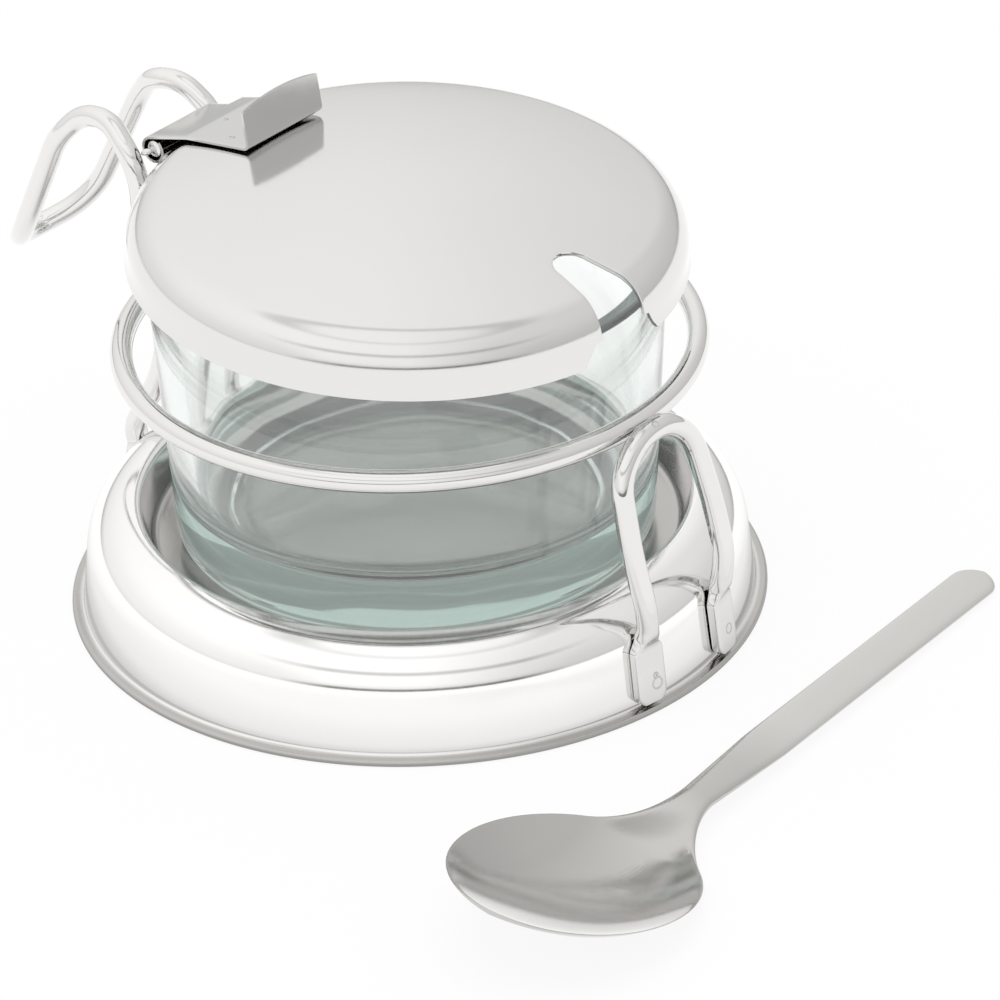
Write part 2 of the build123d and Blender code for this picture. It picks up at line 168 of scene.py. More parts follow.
# %% Routes with rounded corners
def rounded_route(points, radii=None, share=0.45, step=0.06):
    """Runs joined by arcs. A corner's tangent length is radius x tan(half turn), or a share of
    the shorter run beside it. step is the largest turn between two points of an arc."""
    points = np.asarray(points, float)
    line = [points[:1]]
    for i in range(1, len(points) - 1):
        before, corner, after = points[i - 1], points[i], points[i + 1]
        arrive, leave = corner - before, after - corner
        shorter = min(np.linalg.norm(arrive), np.linalg.norm(leave))
        arrive, leave = arrive / np.linalg.norm(arrive), leave / np.linalg.norm(leave)
        turn = np.arccos(np.clip(np.dot(arrive, leave), -1, 1))
        if turn < 1e-4:
            line.append(corner[None])
            continue
        radius = share * shorter / np.tan(turn / 2) if radii is None else radii[i - 1]
        first = corner - arrive * radius * np.tan(turn / 2)
        inward = leave - arrive * np.dot(arrive, leave)
        inward /= np.linalg.norm(inward)
        centre = first + inward * radius
        angles = np.linspace(0, turn, max(3, int(np.ceil(turn / step)) + 1))[:, None]
        line.append(centre + radius * (arrive * np.sin(angles) - inward * np.cos(angles)))
    line.append(points[-1:])
    line = np.vstack(line)
    keep = np.r_[True, np.linalg.norm(np.diff(line, axis=0), axis=1) > 1e-6]
    return line[keep]


def length_along(line):
    """The length of a line from its first point to each of its points."""
    return np.r_[0, np.cumsum(np.linalg.norm(np.diff(line, axis=0), axis=1))]


def resampled(line, spacing):
    """The same line with points at even distances, found by interpolating over its length."""
    length = length_along(line)
    count = int(np.ceil(length[-1] / spacing)) + 1
    at = np.linspace(0, length[-1], count)
    return np.stack([np.interp(at, length, line[:, k]) for k in range(line.shape[1])], axis=1)


def divided(line, longest):
    """The same line with its long runs divided, every corner kept."""
    pieces = [line[:1]]
    for start, end in zip(line[:-1], line[1:]):
        count = max(1, int(np.ceil(np.linalg.norm(end - start) / longest)))
        pieces.append(start + (end - start) * np.linspace(0, 1, count + 1)[1:, None])
    return np.vstack(pieces)


def revolved(section, steps):
    """A section of (radius, height) points turned once round the Z axis."""
    angle = np.linspace(0, 2 * np.pi, steps, endpoint=False)[:, None]
    radius, height = section[:, 0], section[:, 1]
    x = radius * np.cos(angle)
    y = radius * np.sin(angle)
    return np.stack([x, y, np.broadcast_to(height, x.shape)], axis=-1)


def unit(vectors):
    """Vectors scaled to length one."""
    return vectors / np.linalg.norm(vectors, axis=-1, keepdims=True)


def carried_frames(line, first, last):
    """Directions across and normal to a line. Each normal is the one before it, turned as little
    as the line allows; the twist left over at the far end is spread evenly along the line."""
    tangent = unit(np.gradient(line, axis=0))
    normals = [first - tangent[0] * np.dot(first, tangent[0])]
    for t in tangent[1:]:
        normals.append(normals[-1] - t * np.dot(normals[-1], t))
    normal = unit(np.array(normals))
    across = np.cross(normal, tangent)
    twist = np.arctan2(np.dot(across[-1], last), np.dot(normal[-1], last))
    length = length_along(line)
    angle = (twist * length / length[-1])[:, None]
    return (across * np.cos(angle) - normal * np.sin(angle),
            normal * np.cos(angle) + across * np.sin(angle))


def outline(columns, power):
    """A closed outline, round at power 2 and boxy above: (cos t, sin t) divided by
    (|cos t|^p + |sin t|^p)^(1/p)."""
    t = np.linspace(0, 2 * np.pi, columns, endpoint=False)
    cos, sin = np.cos(t), np.sin(t)
    power = np.asarray(power, float)[..., None]
    scale = (np.abs(cos) ** power + np.abs(sin) ** power) ** (-1 / power)
    return cos * scale, sin * scale


def eased(x, low, high):
    """0 below low, 1 above high, and 3s^2 - 2s^3 between."""
    s = np.clip((x - low) / (high - low), 0, 1)
    return s * s * (3 - 2 * s)

# %% [markdown]
# ## Finishes
# Two materials cover the whole server: steel, and clear glass that is slightly green where it is thick. Each
# steel piece was worked in its own way, from the spun base to the brushed plate and spoon, so one recipe
# takes the colour, the roughness and the grain of each. The base's steel is set lighter than the lid's: this
# is painted light, which makes the base's shoulder shine white. Steel sends back only a part of the light, so
# it looks grey under white.

# %% Helpers for node trees
def new_material(name):
    """A material with its empty node tree."""
    material = bpy.data.materials.new(name)
    material.use_nodes = True
    material.node_tree.nodes.clear()
    return material, material.node_tree.nodes, material.node_tree.links


def add_node(nodes, kind, **values):
    """A node of a kind, with its own settings and the constants of its sockets."""
    node = nodes.new(kind)
    for key, value in values.items():
        if hasattr(node, key):
            setattr(node, key, value)
        else:
            node.inputs[key.replace("_", " ")].default_value = value
    return node

# %% Steel
DARKEST_CLOUD = 0.96
GRAIN_DEPTH = 0.00002
NOISE_PRODUCT = (0.12, 0.40)  # nearly all products of the two noises lie between these


def mapped_range(nodes, links, value, low, high):
    """A value from low to high turned into one from 0 to 1."""
    span = add_node(nodes, "ShaderNodeMapRange")
    span.inputs["From Min"].default_value = low
    span.inputs["From Max"].default_value = high
    links.new(value, span.inputs["Value"])
    return span


def largest(nodes, links, values):
    """The largest of several values."""
    most = values[0]
    for value in values[1:]:
        node = add_node(nodes, "ShaderNodeMath", operation="MAXIMUM")
        links.new(most, node.inputs[0])
        links.new(value, node.inputs[1])
        most = node.outputs[0]
    return most


def change_share(nodes, links, place, axis, spans):
    """How far a material has gone over to its second colour and roughness, from 0 to 1: the largest share of
    several spans, each over x or over the distance from the z axis, which is the length of (x, y, 0)."""
    if axis == "out":
        flat = add_node(nodes, "ShaderNodeVectorMath", operation="MULTIPLY")
        flat.inputs[1].default_value = (1, 1, 0)
        links.new(place, flat.inputs[0])
        where = add_node(nodes, "ShaderNodeVectorMath", operation="LENGTH")
        links.new(flat.outputs["Vector"], where.inputs[0])
    else:
        where = add_node(nodes, "ShaderNodeVectorMath", operation="DOT_PRODUCT")
        where.inputs[1].default_value = (1, 0, 0)
        links.new(place, where.inputs[0])
    shares = [mapped_range(nodes, links, where.outputs["Value"], start, end) for start, end in spans]
    return largest(nodes, links, [share.outputs["Result"] for share in shares])


def steel(name, color, rough, spread, grain, bump, cloud, stretch=(1, 1, 1), change=None):
    """Steel: one noise in stretched Object coordinates gives the grain, a larger one the clouds that
    polishing leaves, and both together vary the roughness by the spread. A change (axis, spans, color,
    roughness) leads to a second colour and roughness: it comes in between the two places of each span, in
    metres along x or outwards from the z axis."""
    material, nodes, links = new_material(name)
    place = add_node(nodes, "ShaderNodeTexCoord")
    mapping = add_node(nodes, "ShaderNodeMapping")
    mapping.inputs["Scale"].default_value = stretch
    fine = add_node(nodes, "ShaderNodeTexNoise", Scale=grain, Detail=4.0)
    large = add_node(nodes, "ShaderNodeTexNoise", Scale=cloud, Detail=3.0)
    links.new(place.outputs["Object"], mapping.inputs["Vector"])
    links.new(mapping.outputs["Vector"], fine.inputs["Vector"])
    links.new(place.outputs["Object"], large.inputs["Vector"])
    total = add_node(nodes, "ShaderNodeMath", operation="MULTIPLY")
    links.new(fine.outputs["Fac"], total.inputs[0])
    links.new(large.outputs["Fac"], total.inputs[1])
    scatter = mapped_range(nodes, links, total.outputs[0], *NOISE_PRODUCT)
    scatter.inputs["To Min"].default_value = -spread
    scatter.inputs["To Max"].default_value = spread
    relief = add_node(nodes, "ShaderNodeBump", Strength=bump, Distance=GRAIN_DEPTH)
    links.new(fine.outputs["Fac"], relief.inputs["Height"])
    tone = add_node(nodes, "ShaderNodeMix", data_type="RGBA")
    tone.inputs["A"].default_value = (*[c * DARKEST_CLOUD for c in color], 1)
    tone.inputs["B"].default_value = (*color, 1)
    links.new(large.outputs["Fac"], tone.inputs["Factor"])
    roughness = add_node(nodes, "ShaderNodeMath", operation="ADD")
    roughness.inputs[1].default_value = rough
    links.new(scatter.outputs["Result"], roughness.inputs[0])
    shader = add_node(nodes, "ShaderNodeBsdfPrincipled", Metallic=1.0)
    links.new(tone.outputs["Result"], shader.inputs["Base Color"])
    links.new(roughness.outputs[0], shader.inputs["Roughness"])
    if change is not None:
        axis, spans, other, other_rough = change
        share = change_share(nodes, links, place.outputs["Object"], axis, spans)
        finish = add_node(nodes, "ShaderNodeMix", data_type="RGBA")
        finish.inputs["B"].default_value = (*other, 1)
        links.new(share, finish.inputs["Factor"])
        links.new(tone.outputs["Result"], finish.inputs["A"])
        links.new(finish.outputs["Result"], shader.inputs["Base Color"])
        base_rough = add_node(nodes, "ShaderNodeMapRange")
        base_rough.inputs["To Min"].default_value = rough
        base_rough.inputs["To Max"].default_value = other_rough
        links.new(share, base_rough.inputs["Value"])
        links.new(base_rough.outputs["Result"], roughness.inputs[1])
    links.new(relief.outputs["Normal"], shader.inputs["Normal"])
    output = add_node(nodes, "ShaderNodeOutputMaterial")
    links.new(shader.outputs["BSDF"], output.inputs["Surface"])
    return material

# %% Glass
def glass(name):
    """Clear glass: faint ripples bend what is seen through it. Its volume takes out a little red and glows
    white, painted light that brightens it, so that the thick base looks pale green and the thin wall clear."""
    material, nodes, links = new_material(name)
    place = add_node(nodes, "ShaderNodeTexCoord")
    ripple = add_node(nodes, "ShaderNodeTexNoise", Scale=38.0, Detail=1.0)
    links.new(place.outputs["Object"], ripple.inputs["Vector"])
    relief = add_node(nodes, "ShaderNodeBump", Strength=0.3, Distance=0.0010)
    links.new(ripple.outputs["Fac"], relief.inputs["Height"])
    shader = add_node(nodes, "ShaderNodeBsdfPrincipled", IOR=1.5, Roughness=0.035)
    shader.inputs["Base Color"].default_value = (0.965, 0.972, 0.968, 1.0)
    shader.inputs["Transmission Weight"].default_value = 1.0
    links.new(relief.outputs["Normal"], shader.inputs["Normal"])
    taken = add_node(nodes, "ShaderNodeVolumeAbsorption", Density=15.0)
    taken.inputs["Color"].default_value = (0.20, 0.40, 0.335, 1.0)
    # A white glow in the glass's volume: painted light, since the glass is no lamp.
    painted_glow = add_node(nodes, "ShaderNodeEmission", Strength=4.3)
    painted_glow.inputs["Color"].default_value = (1.0, 1.0, 1.0, 1.0)
    volume = add_node(nodes, "ShaderNodeAddShader")
    links.new(taken.outputs["Volume"], volume.inputs[0])
    links.new(painted_glow.outputs[0], volume.inputs[1])
    output = add_node(nodes, "ShaderNodeOutputMaterial")
    links.new(shader.outputs["BSDF"], output.inputs["Surface"])
    links.new(volume.outputs[0], output.inputs["Volume"])
    return material

# %% The finishes
# The base's colour is set much lighter than the lid's. This is painted light: the base's shoulder mirrors the
# tent as a white highlight.
BASE_STEEL = steel("polished_steel", (0.94, 0.932, 0.925), rough=0.085, spread=0.02, grain=900.0,
                   bump=0.1, cloud=40.0,
                   # Darker and rougher in the well and on the folded rim. In the well the darker colour is
                   # painted shade under the glass bowl.
                   change=("out", ((0.0525, 0.0512), (0.0650, 0.0662)), (0.50, 0.488, 0.475), 0.20))
WIRE_STEEL = steel("wire_steel", (0.78, 0.772, 0.762), rough=0.05, spread=0.03, grain=700.0,
                   bump=0.2, cloud=60.0)
HANDLE_STEEL = steel("handle_steel", (0.80, 0.792, 0.782), rough=0.12, spread=0.05, grain=500.0,
                     bump=0.3, cloud=90.0)
LID_STEEL = steel("lid_steel", (0.76, 0.752, 0.745), rough=0.125, spread=0.03, grain=700.0,
                  bump=0.15, cloud=28.0)
SATIN = steel("satin_steel", (0.66, 0.655, 0.645), rough=0.13, spread=0.05, grain=160.0, bump=0.4,
              cloud=45.0)
SPOON_STEEL = steel("spoon_steel", (0.67, 0.66, 0.645), rough=0.19, spread=0.05, grain=180.0,
                    bump=0.5, cloud=30.0, stretch=(1, 30, 30),
                    change=("x", ((-0.002, -0.020),), (0.545, 0.535, 0.52), 0.07))
GLASS = glass("clear_glass")
print("finishes:", ", ".join(finish.name for finish in (
    BASE_STEEL, WIRE_STEEL, HANDLE_STEEL, LID_STEEL, SATIN, SPOON_STEEL, GLASS)))

# %% [markdown]
# ## The pressed base
# The base is one steel sheet: its rim is folded under, the cone leans in by six degrees, a
# round shoulder rises to a crest, and a flat well holds the bowl. Spinning is how it is made,
# and spinning is how we draw it: both skins in one closed section, turned round the axis.

# %% The base
BASE = {"radius": 67.5, "rim": 2.4, "sheet": 0.7, "well": (51.0, 14.3), "crest": (53.4, 22.2),
        "shoulder": (63.0, 21.2), "foot": 65.2, "bends": [0.65, 0.65, 0.5, 10.7, 1.6, 1.5],
        "bends_beneath": [2.2, 0.9, 10.0, 1.2], "longest_run": 4.0, "steps": 288}
RIM_HEIGHT = 2 * BASE["sheet"]


def moved_left(points, distance):
    """The corners of a path moved to its left: each new corner lies on both moved runs."""
    points = np.asarray(points, float)
    run = unit(np.diff(points, axis=0))
    left = np.stack([-run[:, 1], run[:, 0]], axis=1) * distance
    corners = [points[0] + left[0]]
    for i in range(1, len(run)):
        middle = unit(left[i - 1] + left[i])
        corners.append(points[i] + middle * distance / np.dot(middle, left[i] / distance))
    return np.array(corners + [points[-1] + left[-1]])


def base_section():
    """The skin from the folded rim to the axis, then the underside back out to the rim."""
    inner = BASE["radius"] - BASE["rim"]
    skin = [(BASE["radius"], RIM_HEIGHT), (BASE["foot"], RIM_HEIGHT), BASE["shoulder"], BASE["crest"],
            BASE["well"], (0, BASE["well"][1])]
    top = rounded_route([(inner, 0), (BASE["radius"], 0)] + skin, BASE["bends"])
    under = moved_left(skin, BASE["sheet"])[:0:-1]
    under = np.vstack([under, [(inner, BASE["sheet"])]])
    low = rounded_route(under, BASE["bends_beneath"])
    return divided(np.vstack([top, low, top[:1]]), BASE["longest_run"])[:-1]


points, faces = joined([(revolved(base_section(), BASE["steps"]), "rows and columns")])
make_piece("pressed_base", points, faces, BASE_STEEL, "stand", "base_stand")

# %% [markdown]
# ## The guard ring
# The ring is a wire bent into a circle and butt welded, so one short stretch of it is slightly
# thicker. A torus with that swelling is two angles and one bump.

# %% The ring
RING = {"reach": 55.1, "height": 54.5, "wire": 2.25, "swelling": 0.03, "weld_at": 62, "weld_spread": 1.1}


def ring_points(around=360, section_steps=56):
    """Radius R + r cos b and height h + r sin b, where r swells by s exp(-((a - w) / spread)^2)
    round the weld at w degrees."""
    a = np.linspace(0, 2 * np.pi, around, endpoint=False)[:, None]
    b = np.linspace(0, 2 * np.pi, section_steps, endpoint=False)
    weld = RING["swelling"] * np.exp(-(((np.degrees(a) - RING["weld_at"]) / RING["weld_spread"]) ** 2))
    thick = RING["wire"] - RING["swelling"] + weld
    reach = RING["reach"] + thick * np.cos(b)
    height = RING["height"] + thick * np.sin(b)
    return np.stack([reach * np.cos(a), reach * np.sin(a), height], axis=-1)


points, faces = joined([(ring_points(), "rows and columns")])
make_piece("guard_ring_wire", points, faces, WIRE_STEEL, "stand", "guard_ring")

# %% [markdown]
# ## The bent wires
# The front bracket and the handle are each one round wire whose two ends are hammered flat and
# spot welded on the cone. A tube along a curve would end in round stubs, so the outline itself
# changes along the way: from a flat paddle with rounded corners to a circle, and back.

# %% The feet on the cone
CONE_RUN = BASE["foot"] - BASE["shoulder"][0]
CONE_RISE = BASE["shoulder"][1] - RIM_HEIGHT
CONE_LEAN = np.arctan2(CONE_RUN, CONE_RISE)
GAP = 0.05
WIRE = 2.15
FOOT = {"low": 1.9, "length": 12.2, "width": 7.0, "thick": 2.2, "neck": 4.2, "corner": 2.4, "edge": 0.5,
        "boxiness": 5, "flat_lead": 0.8, "side_lead": 1.2, "side_run": 1.6, "leg_gap": 0.35}
RING_SEAT = RING["reach"] + RING["wire"] + GAP + WIRE


def cone_reach(height):
    """The cone's outer radius at a height."""
    return BASE["foot"] - (height - RIM_HEIGHT) / CONE_RISE * CONE_RUN


def foot_places(offset):
    """The foot's lower and upper end, the start of the round leg, and the direction that the
    foot faces, for a foot in front of the base at an offset to the side."""
    angle = np.arcsin(offset / cone_reach(FOOT["low"]))
    outward = np.array([np.sin(angle), -np.cos(angle), 0])
    normal = outward * np.cos(CONE_LEAN) + np.array([0, 0, np.sin(CONE_LEAN)])
    up = np.array([0, 0, np.cos(CONE_LEAN)]) - outward * np.sin(CONE_LEAN)
    low = outward * cone_reach(FOOT["low"]) + np.array([0, 0, FOOT["low"]])
    low = low + normal * (GAP + FOOT["thick"] / 2)
    top_height = FOOT["low"] + (FOOT["length"] + FOOT["neck"]) * np.cos(CONE_LEAN)
    reach = cone_reach(top_height) + FOOT["leg_gap"] + WIRE
    turn = np.arcsin(offset / reach)
    start = np.array([reach * np.sin(turn), -reach * np.cos(turn), top_height])
    return low, low + up * FOOT["length"], start, normal


def spun(degrees):
    """The matrix that turns rows of points about the Z axis when they are multiplied by it."""
    angle = np.radians(degrees)
    return np.array([[np.cos(angle), np.sin(angle), 0], [-np.sin(angle), np.cos(angle), 0], [0, 0, 1]])

# %% A wire with flattened feet
def footed_wire(route, offset, spin, columns=72, spacing=0.4):
    """A wire along its route. At each end the outline is half width a and half thickness b with
    corners of power p; all three change to the round wire's over the neck. The paddle's corners
    are quarter circles, r - sqrt(r^2 - x^2), and so is the edge of its end."""
    low, top, start, normal = foot_places(offset)
    mirror = np.array([-1, 1, 1])
    ends = np.vstack([low, top, start])
    points = np.vstack([ends, route, (ends * mirror)[::-1]])
    line = resampled(rounded_route(points), spacing)
    across, out = carried_frames(line, normal, normal * mirror)
    length = length_along(line)
    from_end = np.minimum(length, length[-1] - length)
    flat = 1 - eased(from_end, FOOT["length"] - FOOT["flat_lead"], FOOT["length"] + FOOT["neck"])
    sides = 1 - eased(from_end, FOOT["length"] - FOOT["side_lead"], FOOT["length"] + FOOT["side_run"])
    rounding = np.clip(FOOT["corner"] - from_end, 0, FOOT["corner"])
    corner = FOOT["corner"] - np.sqrt(FOOT["corner"] ** 2 - rounding ** 2)
    edge = np.clip(FOOT["edge"] - from_end, 0, FOOT["edge"])
    thin = FOOT["edge"] - np.sqrt(FOOT["edge"] ** 2 - edge ** 2)
    half_width = WIRE + sides * (FOOT["width"] / 2 - WIRE) - corner
    half_thick = WIRE + flat * (FOOT["thick"] / 2 - WIRE) - thin
    x, y = outline(columns, 2 + FOOT["boxiness"] * flat)
    x = x * half_width[:, None]
    y = y * half_thick[:, None]
    rings = line[:, None] + x[..., None] * across[:, None] + y[..., None] * out[:, None]
    return rings @ spun(spin)

# %% The front bracket
BRACKET = {"offset": 11.5, "half": 12.6, "depth": 5.3, "spin": 2.2, "lean": 3.5}


def bracket_route():
    """The route of the bracket's middle line, given in shares of its half width, its depth and
    the ring's height. The real one was bent by hand, so it leans to one side and is turned."""
    start = foot_places(BRACKET["offset"])[2]
    side, depth, rise = np.array([(0.98, 1.04, 0.440), (1.00, 0.66, 0.622), (0.88, 0.11, 0.893),
                                  (0.36, 0.00, 1.000)]).T
    half = np.stack([side * BRACKET["half"], -(RING_SEAT + depth * BRACKET["depth"]),
                     rise * RING["height"]], axis=1)
    both = np.vstack([half, (half * [-1, 1, 1])[::-1]])
    both[:, 0] -= np.tan(np.radians(BRACKET["lean"])) * (both[:, 2] - start[2])
    return both


points, faces = capped_tube(footed_wire(bracket_route(), BRACKET["offset"], BRACKET["spin"]))
make_piece("front_bracket_wire", points, faces, WIRE_STEEL, "stand", "front_bracket")

# %% The handle
HINGE = {"reach": 55.3, "height": 82.1, "shift": -1.23, "half": 11.72, "standoff": 3.53, "lean": 24.0}
HANDLE = {"offset": 9.6, "half": 12.4, "depth": 42.3, "drop": 41.6, "top": 3.4, "below_pin": 5.1,
          "above_pin": 1.0, "spin": 180.0}


def handle_side(half_width):
    """Places up one leg, which passes the hinge at a half width, and along half the grip. They
    are given in shares of the handle's half width, its depth, and the ring's height or the drop."""
    side, depth, rise = np.array([(0.48, -0.01, 0.587), (0.36, 0.005, 0.963), (0.93, -0.05, 1.193)]).T
    legs = np.stack([side * HANDLE["half"], RING_SEAT + depth * HANDLE["depth"],
                     rise * RING["height"]], axis=1)
    lean = np.radians(HINGE["lean"])
    touch = np.array([half_width, HINGE["reach"] + HINGE["standoff"] * np.cos(lean),
                      HINGE["height"] - HINGE["standoff"] * np.sin(lean)])
    along = np.array([0, np.sin(lean), np.cos(lean)])
    side, depth, fall = np.array([(0.85, 0.151, 0.000), (0.80, 0.331, 0.026), (0.96, 0.459, 0.166),
                                  (0.85, 0.771, 0.800), (0.00, 1.045, 1.000)]).T
    grip = np.stack([side * HANDLE["half"], RING_SEAT + depth * HANDLE["depth"],
                     HINGE["height"] + HANDLE["top"] - fall * HANDLE["drop"]], axis=1)
    return np.vstack([legs, touch - along * HANDLE["below_pin"], touch + along * HANDLE["above_pin"], grip])


def handle_route():
    """The route of the handle's wire: up both legs, over the arches and round the hanging grip.
    It is turned by half a turn, so that its feet lie in front like the bracket's."""
    far = handle_side(HINGE["half"] + HINGE["shift"])
    near = handle_side(HINGE["half"] - HINGE["shift"])
    both = np.vstack([far, (near[:-1] * [-1, 1, 1])[::-1]])
    return both[::-1] * [-1, -1, 1]


points, faces = capped_tube(footed_wire(handle_route(), HANDLE["offset"], HANDLE["spin"]))
make_piece("handle_wire", points, faces, HANDLE_STEEL, "stand", "handle_frame")

# %% [markdown]
# ## The spot welds
# A spot welder presses two electrodes on the metal and leaves a small raised ring. Each paddle
# has one, the bracket's near paddle has a dot above it as well, and the bracket's arch has one
# where it touches the guard ring. A bump in the material could hint at them, but a real torus
# catches the light from every side.

# %% The spot welds
def weld_mark(centre, normal, along, radius, tube, bend=None, around=40, section_steps=12):
    """The raised ring that a spot weld leaves: a torus laid over a surface that is straight in
    one direction and, where it bends, lies (r cos u)^2 / (2 bend) lower in the other."""
    normal = unit(np.asarray(normal, float))
    along = np.asarray(along, float) - normal * np.dot(along, normal)
    along /= np.linalg.norm(along)
    across = np.cross(normal, along)
    u = np.linspace(0, 2 * np.pi, around, endpoint=False)[:, None]
    v = np.linspace(0, 2 * np.pi, section_steps, endpoint=False)
    reach = radius + tube * np.cos(v)
    side = reach * np.cos(u)
    height = tube * np.sin(v) - (0 if bend is None else side ** 2 / (2 * bend))
    return (np.asarray(centre, float) + side[..., None] * across
            + (reach * np.sin(u))[..., None] * along + height[..., None] * normal)


def joined_marks(marks):
    """Weld marks as one mesh. A torus closes both ways."""
    return joined([(mark, "rows and columns") for mark in marks])


def foot_marks(offset, spin, marks):
    """Weld marks on the face of the paddle at a signed offset: (up, aside, radius, tube) each."""
    low, top, _, normal = foot_places(abs(offset))
    side = np.array([np.sign(offset), 1, 1])
    low, normal = low * side, normal * side
    up = unit(top * side - low)
    across = np.cross(up, normal)
    turn = spun(spin)
    face = low + normal * FOOT["thick"] / 2
    return [weld_mark((face + up * rise + across * aside) @ turn, normal @ turn, up @ turn, radius, tube)
            for rise, aside, radius, tube in marks]


PADDLE_WELDS = [(-BRACKET["offset"], BRACKET["spin"], [(4.0, 1.1, 1.15, 0.17), (5.7, 0.9, 0.35, 0.3)]),
                (BRACKET["offset"], BRACKET["spin"], [(4.6, 0.5, 1.0, 0.13)]),
                (-HANDLE["offset"], HANDLE["spin"], [(4.3, 0.4, 1.0, 0.13)]),
                (HANDLE["offset"], HANDLE["spin"], [(4.3, -0.3, 1.0, 0.13)])]
ARCH_WELD = {"centre": (-0.08, -60.79, 56.35), "normal": (0.038, -0.564, 0.825), "along": (1, 0, 0),
             "radius": 0.7, "tube": 0.11, "bend": WIRE}

welds = [mark for paddle in PADDLE_WELDS for mark in foot_marks(*paddle)] + [weld_mark(**ARCH_WELD)]
points, faces = joined_marks(welds)
make_piece("spot_welds", points, faces, SATIN, "stand")

# %% [markdown]
# ## The hinge pin
# A short round pin joins the fronts of the two legs, with a bead of weld at each end. Its ends
# were cut and tumbled, so they are slightly domed with a soft edge. It is a profile turned round
# its own axis, and each bead is an ellipsoid drawn out between the pin and the leg.

# %% The pin
PIN = {"radius": 1.7, "half": 8.9, "lift": (-0.28, 0.23), "dome": (0.05, 0.2), "bends": [1.2, 0.35],
       "bead": 0.69, "bead_gap": 0.06, "bead_inside": 0.1}


def pin_points(steps=48):
    """A section of (place, radius) with a soft edge and a domed end, turned round the X axis."""
    r, h = PIN["radius"], PIN["half"]
    half = rounded_route([(0, h), (0.55 * r, h - PIN["dome"][0]), (r, h - PIN["dome"][1]), (r, 0)],
                         PIN["bends"], step=0.15)
    section = np.vstack([half, (half * [1, -1])[::-1][1:]])
    grid = revolved(section, steps)
    x = HINGE["shift"] + grid[..., 2]
    y = HINGE["reach"] + PIN["lift"][0] + grid[..., 0]
    return np.stack([x, y, HINGE["height"] + PIN["lift"][1] + grid[..., 1]], axis=-1)


def bead_points(side, rows=24, steps=32):
    """A weld bead between an end of the pin and a leg: an ellipsoid drawn out along the line
    from one to the other, centre + long cos b along it + short sin b around it."""
    lean = np.radians(HINGE["lean"])
    start = np.array([side * PIN["half"], 0, 0])
    back = np.array([0, np.cos(lean), -np.sin(lean)])
    end = np.array([side * HINGE["half"], 0, 0]) + HINGE["standoff"] * back
    span = np.linalg.norm(end - start)
    along = (end - start) / span
    free = span - WIRE - PIN["bead_gap"]
    first = np.cross(along, [1.0, 0, 0])
    first /= np.linalg.norm(first)
    second = np.cross(along, first)
    b = np.linspace(0, np.pi, rows)[:, None]
    a = np.linspace(0, 2 * np.pi, steps, endpoint=False)
    long, short = free / 2 + PIN["bead_inside"], PIN["bead"]
    centre = np.array([HINGE["shift"], HINGE["reach"], HINGE["height"]]) + start + along * (free - long)
    around = first * np.cos(a)[:, None] + second * np.sin(a)[:, None]
    return centre + (long * np.cos(b))[..., None] * along + (short * np.sin(b))[..., None] * around


points, faces = joined([(pin_points(), "rows"), (bead_points(-1), "columns"), (bead_points(1), "columns")])
make_piece("hinge_pin_rod", points, faces, WIRE_STEEL, "stand", "hinge_pin")

# %% [markdown]
# ## The glass bowl
# Pressed glass has a thick base, a wall that tapers a little, eased edges and a shallow recess
# beneath, so that it stands on a ring. It is again one closed section turned round the axis.

# %% The bowl
BOWL = {"low": 14.4, "recess": (36.0, 0.6), "foot": (37.2, 46.1), "rim": (46.0, 49.8, 73.5),
        "inside": (42.3, 10.5), "bends": [0.6, 0.6, 4.5, 1.2, 1.2, 7.0], "longest_run": 5.0, "steps": 256}


def bowl_section():
    """From the axis underneath, out and up the wall, over the rim and down to the axis inside."""
    low = BOWL["low"]
    recess, up = BOWL["recess"]
    inner, outer, top = BOWL["rim"]
    inside, floor = BOWL["inside"]
    points = [(0, low + up), (recess, low + up), (BOWL["foot"][0], low), (BOWL["foot"][1], low),
              (outer, top), (inner, top), (inside, low + floor), (0, low + floor)]
    return divided(rounded_route(points, BOWL["bends"], step=0.08), BOWL["longest_run"])


points, faces = joined([(revolved(bowl_section(), BOWL["steps"]), "rows")])
make_piece("glass_bowl_body", points, faces, GLASS, "bowl", "glass_bowl")

# %% [markdown]
# ## The lid
# The lid is a shallow dome with a round shoulder, a short skirt and a lip, and a notch for the
# spoon in its front. Cutting the notch out would leave ragged faces. Instead the surface is one
# sheet that starts at the notch's one edge, goes round the back and ends at the other edge, so
# the notch is simply the part of the turn that each ring of points leaves out.

# %% The lid
LID = {"lip": 53.6, "side": 53.3, "lip_height": 2.4, "sheet": 0.8, "dome": 200.0, "rise": 17.55,
       "bend": 8.0, "height": 72.42, "back": 0.42, "tilt": 2.96, "edge": 0.18,
       "edge_angle": 55}
NOTCH = {"reach": 36.8, "tip": 4.0, "half": 6.3, "flare": 4.4, "flare_height": 7.0, "bulge": 0.35}


def lid_to_server(points):
    """Tips the lid forward by its tilt, y cos a - z sin a and y sin a + z cos a, and lifts it on
    the bowl."""
    a = np.radians(LID["tilt"])
    x, y, z = points[..., 0], points[..., 1], points[..., 2]
    return np.stack([x, y * np.cos(a) - z * np.sin(a) - LID["back"],
                     y * np.sin(a) + z * np.cos(a) + LID["height"]], axis=-1)


def shoulder():
    """Centre and angle of the shoulder's arc, which touches the side and the dome from inside."""
    across = LID["side"] - LID["bend"]
    low = LID["rise"] - LID["dome"]
    height = low + np.sqrt((LID["dome"] - LID["bend"]) ** 2 - across ** 2)
    return across, height, np.arctan2(height - low, across)


